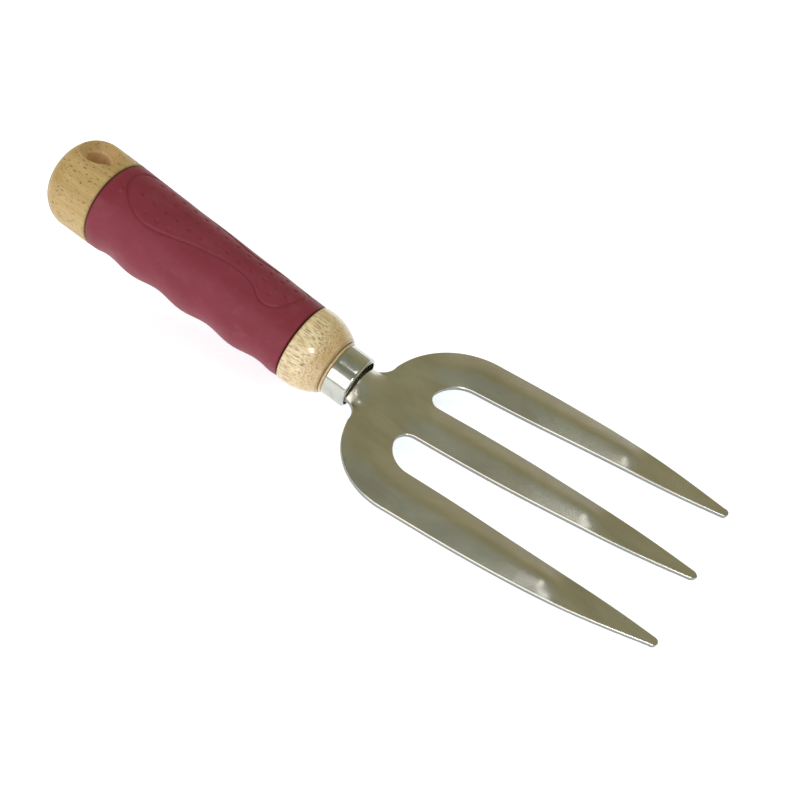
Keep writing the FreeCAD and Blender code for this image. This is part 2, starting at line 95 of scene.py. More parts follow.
SLEEVE_FRONT = -27.1
SLEEVE_BACK = -119.6
SLEEVE_FRONT_RADIUS = 16.15
SLEEVE_BACK_RADIUS = 18.7
SLEEVE_WALL = 2.6
SLEEVE_EDGE = 0.8
WAVE_HEIGHT = 0.78
WAVE_PITCH = 24.5
WAVE_CREST = -49.5
WAVE_FADE = 7.0

BORE_RADIUS = 4.0
BORE_BACK = -72.0
TENON_FRONT = -4.6
LIP_RADIUS = 11.5
COVE_RADIUS = 11.0
BULB_FRONT = -11.4
BULB_FRONT_RADIUS = 12.7
BULB_ARC = 20.8
BULB_REAR = -26.5
BULB_REAR_RADIUS = 16.27
BUTT_RADIUS = 18.9
BUTT_FRONT_RADIUS = 18.8
BUTT_BEND = -134.03
BUTT_CORNER = 10.5
BUTT_KNEE = -142.86
BUTT_KNEE_RADIUS = 14.09
BUTT_CROWN = 26.0
BUTT_BACK = -147.0
HOLE_STATION = -132.8
HOLE_RADIUS = 4.6
HOLE_SINK = 5.0

# ------------------------------------------------------------------ sizes of the looks only
EDGE_ROUND = 0.55
NECK_CORNER = 1.5
WOOD_EDGE = 0.4
# The butt's front face stands 0.25 nearer the sleeve than in the CAD, so that the seam looks tight.
BUTT_FRONT = -119.95
BULB_SWELL = 0.05
COVE_STATION = -10.75
COVE_ARC = 1.1
LIP_FOOT = (-10.45, 11.15)
LIP_CROWN = -10.0
LIP_REAR_ARC = 0.5
LIP_FRONT_RADIUS = 11.1
LIP_FRONT_ARC = 0.6


# ------------------------------------------------------------------ pose
def handle_poses():
    """World matrices of the handle frame for the head, and for the handle turned about its axis."""
    hole = [m for m in frame["record"]["mounts"] if m["name"] == "hanging_hole"][0]
    hole_at = Vector(hole["pos_m"])
    low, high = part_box("ferrule")
    ferrule_at = (low + high) / 2
    forward = (ferrule_at - hole_at).normalized()
    left = Vector((0, 1, 0))
    up = forward.cross(left).normalized()
    origin = ferrule_at - forward * ((FERRULE_FRONT + FERRULE_BACK) / 2 * MM)

    def pose(y_axis, z_axis):
        turn = Matrix((forward, y_axis, z_axis)).transposed()
        return Matrix.Translation(origin) @ turn.to_4x4()

    hole_axis = Vector(hole["axis"])
    up_rolled = (hole_axis - forward * hole_axis.dot(forward)).normalized()
    return pose(left, up), pose(up_rolled.cross(forward), up_rolled)


HEAD_POSE, HANDLE_POSE = handle_poses()


# ------------------------------------------------------------------ mesh helpers
def make_piece(name, points, faces, pose, node):
    """A smooth-shaded mesh from points in millimetres, riding on the body in place of a CAD node."""
    mesh = bpy.data.meshes.new(name)
    mesh.from_pydata((np.asarray(points) * MM).tolist(), [], faces)
    mesh.transform(pose)
    mesh.update()
    mesh.shade_smooth()
    piece = bpy.data.objects.new(name, mesh)
    bpy.context.scene.collection.objects.link(piece)
    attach(piece, "root")
    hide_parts(node)
    return piece


def grid_faces(rows, columns, closed_rows=False):
    """Quads of a grid stored row by row; columns wrap round, rows wrap only when asked."""
    faces = []
    for i in range(rows if closed_rows else rows - 1):
        j = (i + 1) % rows
        for k in range(columns):
            n = (k + 1) % columns
            faces.append((i * columns + k, i * columns + n, j * columns + n, j * columns + k))
    return faces


def arc_points(start, stop, radius, side, step):
    """Points along an arc from start to stop; side +1 bulges left of travel."""
    start = np.array(start, float)
    stop = np.array(stop, float)
    chord = stop - start
    length = np.hypot(*chord)
    normal = np.array([-chord[1], chord[0]]) / length
    centre = (start + stop) / 2 - normal * side * math.sqrt(radius ** 2 - (length / 2) ** 2)
    a0 = math.atan2(*(start - centre)[::-1])
    a1 = math.atan2(*(stop - centre)[::-1])
    sweep = (a1 - a0 + math.pi) % (2 * math.pi) - math.pi
    count = max(3, int(abs(sweep) * radius / step) + 1)
    angles = a0 + np.linspace(0, sweep, count)
    return np.column_stack([centre[0] + radius * np.cos(angles), centre[1] + radius * np.sin(angles)])


def straight(start, stop, step):
    """Points along a line, both ends included."""
    count = max(2, int(math.dist(start, stop) / step) + 1)
    return np.linspace(start, stop, count)


def arc_through(start, middle, stop, step):
    """Points along the circle through three points."""
    (ax, ay), (bx, by), (cx, cy) = start, middle, stop
    d = 2 * (ax * (by - cy) + bx * (cy - ay) + cx * (ay - by))
    sa, sb, sc = ax * ax + ay * ay, bx * bx + by * by, cx * cx + cy * cy
    centre = np.array([
        (sa * (by - cy) + sb * (cy - ay) + sc * (ay - by)) / d,
        (sa * (cx - bx) + sb * (ax - cx) + sc * (bx - ax)) / d,
    ])
    radius = math.dist(centre, start)
    angles = [math.atan2(p[1] - centre[1], p[0] - centre[0]) for p in (start, middle, stop)]
    sweep = (angles[2] - angles[0]) % (2 * math.pi)
    if (angles[1] - angles[0]) % (2 * math.pi) > sweep:
        sweep -= 2 * math.pi
    count = max(3, int(abs(sweep) * radius / step) + 1)
    turn = angles[0] + np.linspace(0, sweep, count)
    return np.column_stack([centre[0] + radius * np.cos(turn), centre[1] + radius * np.sin(turn)])


def curve_through(points, step):
    """Natural cubic spline through the points, sampled evenly."""
    points = np.array(points, float)
    knots = np.concatenate([[0], np.cumsum(np.hypot(*np.diff(points, axis=0).T))])
    gaps = np.diff(knots)
    n = len(points)
    system = np.eye(n)
    right = np.zeros((n, 2))
    for i in range(1, n - 1):
        system[i, i - 1:i + 2] = [gaps[i - 1], 2 * (gaps[i - 1] + gaps[i]), gaps[i]]
        right[i] = 6 * ((points[i + 1] - points[i]) / gaps[i] - (points[i] - points[i - 1]) / gaps[i - 1])
    bend = np.linalg.solve(system, right)
    at = np.linspace(0, knots[-1], max(3, int(knots[-1] / step) + 1))
    i = np.clip(np.searchsorted(knots, at, side="right") - 1, 0, n - 2)
    h = gaps[i][:, None]
    a = (knots[i + 1] - at)[:, None]
    b = (at - knots[i])[:, None]
    return (
        bend[i] * a ** 3 / (6 * h) + bend[i + 1] * b ** 3 / (6 * h)
        + (points[i] / h - bend[i] * h / 6) * a + (points[i + 1] / h - bend[i + 1] * h / 6) * b
    )


def joined(parts):
    """One chain of points from several that meet end to start."""
    return np.vstack([parts[0]] + [p[1:] for p in parts[1:]])


def smooth(t):
    """0 below zero, 1 above one, and an even S between."""
    t = np.clip(t, 0.0, 1.0)
    return t * t * (3.0 - 2.0 * t)


# ------------------------------------------------------------------ fork head
# Sides of the tines as seen from above: station and distance from the middle.
OUTER_SIDE = [(62.0, 41.7), (89.0, 40.5), (109.0, 38.4), (124.0, 35.75)]
INNER_SIDE = [(124.0, 28.2), (102.0, 26.8), (79.0, 25.6), (57.0, 24.4)]
MIDDLE_SIDE = [(55.0, 8.35), (73.0, 7.75), (91.0, 6.7), (108.0, 5.5), (124.0, 3.75)]
MIDDLE_WIDE_TO = 46.0
SHOULDER_X = 40.0
SLOT_X = 38.0
NECK_SPARE = 0.2
# Points of the arcs between those curves: station, and offset from the width they belong to.
NECK_END_X = 0.2
FLARE_MIDDLE = (5.2, 2.1)
FLARE_END = (7.1, 7.0)
SHOULDER_MIDDLE = (18.0, -7.1)
SLOT_BEND = (29.7, -3.35)
SLOT_INNER_X = 31.0
# Round ends: distance back from the front of the tine or slot, and distance from the axis.
SIDE_TIP_OUTER = (2.2, 33.2)
SIDE_TIP_FRONT = 31.2
SIDE_TIP_INNER = (2.0, 29.55)
SLOT_TURN = (-0.15, 13.6)
SLOT_NEAR = (27.5, 10.0)
MIDDLE_TIP_BACK = 1.7
MIDDLE_TIP_ARC = 0.55
# Sides of the pressed form of an outer tine, level with its tip.
SIDE_ARCH_OUTER = 33.0
SIDE_ARCH_INNER = 29.6
# Fineness of the mesh: steps in millimetres, fillet step in degrees.
OUTLINE_STEP = 0.45
SLOPE_STEP = 0.3
FILLET_STEP = 15
RING_PAST_FILLET = 0.25
NORMAL_PAST_FILLET = 0.35
FILLING_START = 0.6
FILLING_PITCH = 0.85
FILLING_GAP = 0.4
SAME_POINT = 1e-6


def head_outline(step):
    """Closed plan outline, evenly spaced, anticlockwise from above."""
    corner_rear = (NECK_BACK, NECK_HALF - NECK_CORNER)
    corner_side = (NECK_BACK + NECK_CORNER, NECK_HALF)
    neck_end = (NECK_END_X, NECK_HALF)
    flare_middle = (FLARE_MIDDLE[0], NECK_HALF + FLARE_MIDDLE[1])
    flare_end = (FLARE_END[0], NECK_HALF + FLARE_END[1])
    shoulder_middle = (SHOULDER_MIDDLE[0], SHOULDER_HALF + SHOULDER_MIDDLE[1])
    shoulder_end = (SHOULDER_X, SHOULDER_HALF)
    side_end = (TIP_SIDE - SIDE_TIP_OUTER[0], SIDE_TIP_OUTER[1])
    tip_end = (TIP_SIDE - SIDE_TIP_INNER[0], SIDE_TIP_INNER[1])
    slot_start = (SLOT_X, SLOT_OUTER)
    slot_bend = (SLOT_BEND[0], SLOT_OUTER + SLOT_BEND[1])
    slot_turn = (CROTCH_FRONT - SLOT_TURN[0], SLOT_TURN[1])
    slot_end = (SLOT_INNER_X, SLOT_INNER)
    mid_end = (TIP_MIDDLE - MIDDLE_TIP_BACK, TIP_ROUND)
    mid_round = (TIP_MIDDLE - MIDDLE_TIP_ARC, MIDDLE_TIP_ARC * TIP_ROUND)
    left = joined([
        straight((NECK_BACK, 0.0), corner_rear, step),
        arc_points(corner_rear, corner_side, NECK_CORNER, 1, step),
        straight(corner_side, neck_end, step),
        arc_through(neck_end, flare_middle, flare_end, step),
        arc_through(flare_end, shoulder_middle, shoulder_end, step),
        curve_through([shoulder_end] + OUTER_SIDE + [side_end], step),
        arc_through(side_end, (TIP_SIDE, SIDE_TIP_FRONT), tip_end, step),
        curve_through([tip_end] + INNER_SIDE + [slot_start], step),
        arc_through(slot_start, slot_bend, slot_turn, step),
        arc_through(slot_turn, SLOT_NEAR, slot_end, step),
        curve_through([slot_end] + MIDDLE_SIDE + [mid_end], step),
        arc_through(mid_end, mid_round, (TIP_MIDDLE, 0.0), step),
    ])
    right = left[::-1][1:-1] * [1, -1]
    chain = np.vstack([left, right])[::-1]
    closed = np.vstack([chain, chain[:1]])
    run = np.concatenate([[0], np.cumsum(np.hypot(*np.diff(closed, axis=0).T))])
    at = np.linspace(0, run[-1], int(run[-1] / step) + 1)[:-1]
    return np.column_stack([np.interp(at, run, closed[:, 0]), np.interp(at, run, closed[:, 1])])


def inward_normals(loop):
    """Unit normals that point into an anticlockwise loop."""
    ahead = np.roll(loop, -1, axis=0) - np.roll(loop, 1, axis=0)
    ahead /= np.hypot(*ahead.T)[:, None]
    return np.column_stack([-ahead[:, 1], ahead[:, 0]])


def inside(points, loop):
    """Even-odd test of many points against a closed loop."""
    x, y = points[:, 0][:, None], points[:, 1][:, None]
    x0, y0 = loop.T
    x1, y1 = np.roll(loop, -1, axis=0).T
    with np.errstate(divide="ignore", invalid="ignore"):
        crossing = ((y0 > y) != (y1 > y)) & (x < (x1 - x0) * (y - y0) / (y1 - y0) + x0)
    return crossing.sum(axis=1) % 2 == 1


def read_table(x, table):
    """Straight-line reading of a short table of (x, value)."""
    xs, ys = zip(*table)
    return np.interp(x, xs, ys)


def dome(across):
    """Cross profile of the neck: one on the ridge, zero at the edges."""
    return np.maximum(0.0, 1.0 - across * across)


def roof(across):
    """Cross profile of a tine: two even flanks that meet in a soft ridge."""
    edge = math.hypot(1.0, RIDGE_SOFT)
    return np.maximum(0.0, (edge - np.hypot(across, RIDGE_SOFT)) / (edge - RIDGE_SOFT))


def nose(x, end):
    """One along an arch, falling to zero at its front end."""
    return smooth((end - x) / NOSE_LENGTH)


def head_rise(x, y):
    """Height of the pressed form above the plate plane."""
    y = np.abs(y)
    # neck arch: level with the handle axis inside the ferrule, sinking into the palm in front of it
    level = NECK_RISE - PLANE_SLOPE * np.minimum(x, 0.0)
    sunk = smooth((x - NECK_FADE_START) / NECK_FADE)
    total = level * dome(y / (NECK_HALF + NECK_SPARE)) * (1.0 - sunk)
    # middle tine
    half = read_table(x, [(MIDDLE_WIDE_TO, SLOT_INNER)] + MIDDLE_SIDE[1:] + [(TIP_MIDDLE, TIP_ROUND)])
    raised = smooth((x - MID_ARCH_START) / MID_ARCH_RAMP)
    total = total + ARCH_RISE * roof(y / half) * raised * nose(x, MIDDLE_NOSE)
    # outer tine, and its arch carried round the shoulder about the slot end
    high = read_table(x, [(SHOULDER_X, SHOULDER_HALF)] + OUTER_SIDE + [(TIP_SIDE, SIDE_ARCH_OUTER)])
    low = read_table(x, [(SLOT_X, SLOT_OUTER)] + INNER_SIDE[::-1] + [(TIP_SIDE, SIDE_ARCH_INNER)])
    along = roof((y - (high + low) / 2) / ((high - low) / 2)) * nose(x, SIDE_NOSE)
    reach = np.hypot(x - ROUND_X, y - ROUND_Y)
    turn = np.degrees(np.arctan2(y - ROUND_Y, x - ROUND_X)) % 360.0
    low = SLOT_OUTER - ROUND_Y
    high = SHOULDER_HALF - ROUND_Y
    carried = roof((reach - (high + low) / 2) / ((high - low) / 2)) * smooth((ROUND_END - turn) / ROUND_FADE)
    return total + ARCH_RISE * np.where(x > ROUND_X, along, carried)


def head_top(points):
    """Height of the top face over the handle axis."""
    return PLANE_DROP + PLANE_SLOPE * points[:, 0] + head_rise(points[:, 0], points[:, 1])


def head_slopes(points):
    """Slope of the top face forward and sideways."""
    ahead, aside = np.array([SLOPE_STEP, 0]), np.array([0, SLOPE_STEP])
    dx = (head_top(points + ahead) - head_top(points - ahead)) / (2 * SLOPE_STEP)
    dy = (head_top(points + aside) - head_top(points - aside)) / (2 * SLOPE_STEP)
    return dx, dy


def head_depth(points):
    """Upright thickness of the sheet where it slopes."""
    dx, dy = head_slopes(points)
    return SHEET * np.sqrt(1 + dx ** 2 + dy ** 2)


def head_normals(points):
    """Unit normals of the top face."""
    dx, dy = head_slopes(points)
    normals = np.column_stack([-dx, -dy, np.ones(len(points))])
    return normals / np.linalg.norm(normals, axis=1)[:, None]


def head_rings():
    """Rings from the top face, over the rounded edge and down the cut wall to the under face:
    inset from the outline, depth in the sheet, turn of the normal, and share of cut wall."""
    rings = [(EDGE_ROUND + RING_PAST_FILLET, 0.0, 0.0, 0.0)]
    for angle in range(0, 91, FILLET_STEP):
        a = math.radians(angle)
        rings.append((EDGE_ROUND * (1 - math.sin(a)), EDGE_ROUND * (1 - math.cos(a)), a, angle / 90))
    return rings + [(inset, SHEET - drop, math.pi - a, cut) for inset, drop, a, cut in reversed(rings)]


def head_filling(rim):
    """Even grid of points inside the rim, in staggered rows, kept clear of the rim itself."""
    xs = np.arange(NECK_BACK + FILLING_START, TIP_MIDDLE, FILLING_PITCH)
    ys = np.arange(-SHOULDER_HALF, SHOULDER_HALF, FILLING_PITCH * math.sqrt(3) / 2)
    gx, gy = np.meshgrid(xs, ys)
    gx = gx + (np.arange(len(ys)) % 2)[:, None] * FILLING_PITCH / 2
    filling = np.column_stack([gx.ravel(), gy.ravel()])
    filling = filling[inside(filling, rim)]
    tree = KDTree(len(rim))
    for i, (x, y) in enumerate(rim):
        tree.insert((x, y, 0.0), i)
    tree.balance()
    return filling[[tree.find((x, y, 0.0))[2] > FILLING_GAP for x, y in filling]]


def build_head():
    """Fork head: rings down the rounded, sheared edge, and even fillings above and below."""
    loop = head_outline(OUTLINE_STEP)
    inward = inward_normals(loop)
    outward_flat = np.column_stack([-inward, np.zeros(len(loop))])
    face = head_normals(loop + inward * (EDGE_ROUND + NORMAL_PAST_FILLET))
    rings = head_rings()
    count = len(loop)
    points = []
    normals = []
    cuts = []
    for inset, drop, turn, cut in rings:
        plan = loop + inward * inset
        points.append(np.column_stack([plan, head_top(plan) - head_depth(plan) * drop / SHEET]))
        normals.append(face * math.cos(turn) + outward_flat * math.sin(turn))
        cuts.append(np.full(count, cut))
    faces = grid_faces(len(rings), count)

    # the inside of the plan is filled the same above and below
    rim = loop + inward * rings[0][0]
    filling = head_filling(rim)
    plan = np.vstack([rim, filling])
    ring = [(i, (i + 1) % count) for i in range(count)]
    triangles = delaunay_2d_cdt([Vector(p) for p in plan], ring, [], 1, SAME_POINT)
    if len(triangles[0]) != len(plan):
        raise RuntimeError("the filling of the fork head changed its points")
    top_start = len(rings) * count
    last_ring = top_start - count
    height = head_top(filling)
    points += [np.column_stack([filling, height]), np.column_stack([filling, height - head_depth(filling)])]
    normals += [head_normals(filling), -head_normals(filling)]
    cuts.append(np.zeros(2 * len(filling)))

    def top_index(i):
        return i if i < count else top_start + i - count

    def bottom_index(i):
        return last_ring + i if i < count else top_start + len(filling) + i - count

    for a, b, c in triangles[2]:
        faces.append((top_index(a), top_index(b), top_index(c)))
        faces.append((bottom_index(a), bottom_index(c), bottom_index(b)))
    piece = make_piece("head", np.vstack(points), faces, HEAD_POSE, "fork_head")
    outward(piece.data)
    turn = np.array(HEAD_POSE.to_3x3())
    piece.data.normals_split_custom_set_from_vertices((np.vstack(normals) @ turn.T).tolist())
    cut = piece.data.attributes.new("cut_edge", "FLOAT", "POINT")
    cut.data.foreach_set("value", np.concatenate(cuts).astype(np.float32))
    return piece


# ------------------------------------------------------------------ turned pieces
def lathe(profile, segments):
    """Points and faces of a closed profile of (station, radius) spun about the handle axis.
    Profile points on the axis become single poles."""
    points = []
    rows = []
    for station, radius in profile:
        if radius < SAME_POINT:
            rows.append([len(points)] * segments)
            points.append((station, 0.0, 0.0))
            continue
        rows.append(list(range(len(points), len(points) + segments)))
        for k in range(segments):
            a = 2 * math.pi * k / segments
            points.append((station, radius * math.sin(a), radius * math.cos(a)))
    faces = []
    for i in range(len(rows)):
        row, below = rows[i], rows[(i + 1) % len(rows)]
        if row[0] == row[1] and below[0] == below[1]:
            continue
        for k in range(segments):
            n = (k + 1) % segments
            face = [row[k], row[n], below[n], below[k]]
            face = [v for j, v in enumerate(face) if v != face[j - 1]]
            faces.append(tuple(face))
    return points, faces


def build_ferrule():
    """Short tube whose front rim curls inward."""
    bore = FERRULE_RADIUS - FERRULE_WALL
    mouth = bore - FERRULE_CURL
    fine = 0.1
    front, back = FERRULE_FRONT, FERRULE_BACK
    rear_face = (back, FERRULE_RADIUS - FERRULE_EDGE)
    rear_edge = (back + FERRULE_EDGE, FERRULE_RADIUS)
    nose_start = (front - FERRULE_NOSE, FERRULE_RADIUS)
    nose_end = (front, FERRULE_RADIUS - FERRULE_NOSE)
    mouth_face = (front, mouth + FERRULE_MOUTH)
    mouth_edge = (front - FERRULE_MOUTH, mouth)
    curl_rear = (front - FERRULE_NOSE, mouth)
    bore_front = (front - FERRULE_NOSE - FERRULE_CURL, bore)
    profile = joined([
        straight((back, bore), rear_face, step=0.5),
        arc_points(rear_face, rear_edge, FERRULE_EDGE, 1, fine),
        straight(rear_edge, nose_start, step=1.0),
        arc_points(nose_start, nose_end, FERRULE_NOSE, 1, fine),
        straight(nose_end, mouth_face, fine),
        arc_points(mouth_face, mouth_edge, FERRULE_MOUTH, 1, fine),
        straight(mouth_edge, curl_rear, step=0.3),
        straight(curl_rear, bore_front, step=0.2),
        straight(bore_front, (back, bore), step=1.0),
    ])[:-1]
    points, faces = lathe(profile, segments=160)
    return make_piece("ferrule_tube", points, faces, HEAD_POSE, "ferrule")


def handle_outline():
    """(station, radius) of the handle, from the butt end on the axis to the bottom of the tang bore."""
    coarse = 0.6
    fine = 0.1
    tenon_radius = FERRULE_RADIUS - FERRULE_WALL
    knee = (BUTT_KNEE, BUTT_KNEE_RADIUS)
    bend = (BUTT_BEND, BUTT_RADIUS)
    butt_edge = (BUTT_FRONT - WOOD_EDGE, BUTT_FRONT_RADIUS)
    butt_face = (BUTT_FRONT, BUTT_FRONT_RADIUS - WOOD_EDGE)
    recess_rear = (BUTT_FRONT, SLEEVE_BACK_RADIUS - SLEEVE_WALL)
    recess_front = (BULB_REAR, SLEEVE_FRONT_RADIUS - SLEEVE_WALL)
    bulb_face = (BULB_REAR, BULB_REAR_RADIUS - WOOD_EDGE)
    bulb_edge = (BULB_REAR + WOOD_EDGE, BULB_REAR_RADIUS + BULB_SWELL)
    bulb_front = (BULB_FRONT, BULB_FRONT_RADIUS)
    cove = (COVE_STATION, COVE_RADIUS)
    lip_crown = (LIP_CROWN, LIP_RADIUS)
    lip_front = (FERRULE_BACK, LIP_FRONT_RADIUS)
    tenon_foot = (FERRULE_BACK, tenon_radius)
    tenon_end = (TENON_FRONT, tenon_radius)
    bore_mouth = (TENON_FRONT, BORE_RADIUS)
    bore_end = (BORE_BACK, BORE_RADIUS)
    return joined([
        arc_points((BUTT_BACK, 0.0), knee, BUTT_CROWN, 1, coarse),
        arc_points(knee, bend, BUTT_CORNER, 1, coarse),
        straight(bend, butt_edge, coarse),
        arc_points(butt_edge, butt_face, WOOD_EDGE, 1, fine),
        straight(butt_face, recess_rear, coarse),
        straight(recess_rear, recess_front, step=4.0),
        straight(recess_front, bulb_face, coarse),
        arc_points(bulb_face, bulb_edge, WOOD_EDGE, 1, fine),
        arc_points(bulb_edge, bulb_front, BULB_ARC, 1, coarse),
        arc_points(bulb_front, cove, COVE_ARC, 1, step=0.15),
        straight(cove, LIP_FOOT, fine),
        arc_points(LIP_FOOT, lip_crown, LIP_REAR_ARC, 1, fine),
        arc_points(lip_crown, lip_front, LIP_FRONT_ARC, 1, fine),
        straight(lip_front, tenon_foot, coarse),
        straight(tenon_foot, tenon_end, coarse),
        straight(tenon_end, bore_mouth, coarse),
        straight(bore_mouth, bore_end, step=6.0),
        straight(bore_end, (BORE_BACK, 0.0), step=2.0),
    ])


def hole_cutter():
    """Closed spindle that cuts the hanging hole and its countersinks, with softened throats."""
    soft = 1.6
    over = 3.0
    throat = BUTT_RADIUS - HOLE_SINK
    slant = soft * math.tan(math.pi / 8)
    lean = slant / math.sqrt(2)
    throat_start = (throat - slant, HOLE_RADIUS)
    throat_end = (throat + lean, HOLE_RADIUS + lean)
    mouth = (BUTT_RADIUS + over, HOLE_RADIUS + HOLE_SINK + over)
    half = joined([
        straight((0.0, HOLE_RADIUS), throat_start, step=1.0),
        arc_points(throat_start, throat_end, soft, -1, step=0.15),
        straight(throat_end, mouth, step=0.5),
        straight(mouth, (BUTT_RADIUS + over, 0.0), step=3.0),
    ])
    profile = np.vstack([half[::-1] * [-1, 1], half[1:]])
    points, faces = lathe(profile, segments=128)
    spun = np.asarray(points)
    upright = np.column_stack([spun[:, 2] + HOLE_STATION, spun[:, 1], spun[:, 0]])
    mesh = bpy.data.meshes.new("hole_cutter")
    mesh.from_pydata((upright * MM).tolist(), [], faces)
    mesh.transform(HANDLE_POSE)
    mesh.update()
    cutter = bpy.data.objects.new("hole_cutter", mesh)
    bpy.context.scene.collection.objects.link(cutter)
    return cutter


def outward(mesh):
    """Turn every face outward."""
    work = bmesh.new()
    work.from_mesh(mesh)
    bmesh.ops.recalc_face_normals(work, faces=work.faces)
    work.to_mesh(mesh)
    work.free()


def build_handle():
    """One turned piece of wood with the hanging hole cut across its butt."""
    points, faces = lathe(handle_outline(), segments=192)
    piece = make_piece("wooden_handle", points, faces, HANDLE_POSE, "handle")
    outward(piece.data)
    cutter = hole_cutter()
    outward(cutter.data)
    cut = piece.modifiers.new("hanging_hole", "BOOLEAN")
    cut.operation = "DIFFERENCE"
    cut.object = cutter
    cut.solver = "EXACT"
    depsgraph = bpy.context.evaluated_depsgraph_get()
    mesh = bpy.data.meshes.new_from_object(piece.evaluated_get(depsgraph))
    piece.modifiers.clear()
    piece.data = mesh
    bpy.data.objects.remove(cutter)
    mesh.shade_smooth()
    return piece


# ------------------------------------------------------------------ grip sleeve
# Outline of the thumb panel: station and angle in degrees, near side rear to front, far side back.
PANEL = [
    (-114.8, 0.0), (-113.9, -14.0), (-111.3, -27.0), (-107.6, -36.5), (-100.5, -45.5), (-93.0, -44.5),
    (-82.3, -35.0), (-71.7, -26.5), (-62.0, -21.0), (-55.5, -21.5), (-49.5, -28.5), (-44.7, -37.0),
    (-40.5, -35.0), (-35.8, -17.0), (-34.1, 0.0), (-33.5, 14.0), (-34.3, 26.0), (-38.0, 36.0),
    (-44.0, 37.5), (-49.5, 28.5), (-55.5, 21.5), (-62.0, 21.0), (-71.7, 26.5), (-82.3, 35.0),
    (-93.0, 44.5), (-100.5, 45.5), (-107.6, 36.5), (-111.3, 27.0), (-113.9, 14.0),
]
# Points repeated at both ends, so that the closed line is smooth where it meets itself.
PANEL_LEAD = 3
PANEL_DEPTH = 0.12
PANEL_EDGE = 0.7
GROOVE_DEPTH = 0.52
GROOVE_WIDTH = 0.45
# A small moulding nick behind the panel: station and angle in degrees, height and width.
NICK = (-113.9, -29.0)
NICK_HEIGHT = 0.7
NICK_WIDTH = 0.8
# Rows of dimples inside the panel, rear to front, each by its angles in degrees.
DIMPLE_START = -106.2
DIMPLE_PITCH = 5.65
DIMPLE_DEPTH = 0.34
DIMPLE_RADIUS = 0.85
FIVE = (-34.0, -17.0, 0.0, 17.0, 34.0)
FOUR = (-22.0, -7.5, 7.5, 22.0)
THREE = (-17.0, 0.0, 17.0)
TWO = (-10.0, 10.0)
DIMPLE_ROWS = [THREE] + [FIVE] * 3 + [THREE] * 2 + [TWO] * 4 + [FOUR] * 2 + [TWO]

SLEEVE_SEGMENTS = 380
SLEEVE_PITCH = 0.28
# The waves belong to the underside: this power keeps them low on the flanks.
UNDER_POWER = 1.2
# Half-angle in degrees that holds the whole panel.
PANEL_REACH = 60


def sleeve_base(station):
    """Radius of the plain sleeve, which tapers toward the front."""
    share = (SLEEVE_FRONT - station) / (SLEEVE_FRONT - SLEEVE_BACK)
    return SLEEVE_FRONT_RADIUS + share * (SLEEVE_BACK_RADIUS - SLEEVE_FRONT_RADIUS)


def unrolled(station, angle):
    """Station and arc length across of a place on the sleeve."""
    return station, math.radians(angle) * sleeve_base(station)


def panel_line():
    """Closed line of the panel on the unrolled sleeve."""
    whole = np.array([unrolled(station, angle) for station, angle in PANEL])
    padded = np.vstack([whole[-PANEL_LEAD:], whole, whole[:PANEL_LEAD + 1]])
    line = curve_through(padded, step=0.4)
    # keep one full round, between the two passes of the first point
    half = len(line) // 2
    start = np.argmin(np.hypot(*(line[:half // 2] - whole[0]).T))
    stop = half + np.argmin(np.hypot(*(line[half:] - whole[0]).T))
    return line[start:stop + 1]


def dimple_places():
    """Places of all dimples on the unrolled sleeve."""
    places = []
    for row, columns in enumerate(DIMPLE_ROWS):
        station = DIMPLE_START + DIMPLE_PITCH * row
        places += [unrolled(station, angle) for angle in columns]
    return places


def distance_to_line(points, line):
    """Shortest distance from each point to a chain of points."""
    best = np.full(len(points), np.inf)
    for a, b in zip(line[:-1], line[1:]):
        ab = b - a
        t = np.clip(((points - a) @ ab) / max(ab @ ab, SAME_POINT ** 2), 0, 1)
        best = np.minimum(best, np.hypot(*(points - a - t[:, None] * ab).T))
    return best


def sleeve_relief(stations, turns):
    """Height of groove, sunk panel, nick and dimples over the plain sleeve."""
    flat = np.column_stack([stations, turns * sleeve_base(stations)])
    relief = np.zeros(len(stations))
    near = np.abs(turns) < math.radians(PANEL_REACH)
    line = panel_line()
    off_line = distance_to_line(flat[near], line)
    relief[near] -= GROOVE_DEPTH * np.exp(-(off_line / GROOVE_WIDTH) ** 2)
    relief[near] -= PANEL_DEPTH * smooth(off_line / PANEL_EDGE) * inside(flat[near], line[:-1])
    off_nick = np.hypot(*(flat - unrolled(*NICK)).T)
    relief += NICK_HEIGHT * np.exp(-(off_nick / NICK_WIDTH) ** 2)
    for place in dimple_places():
        off_dimple = np.hypot(*(flat - place).T)
        relief -= DIMPLE_DEPTH * np.exp(-(off_dimple / DIMPLE_RADIUS) ** 4)
    return relief


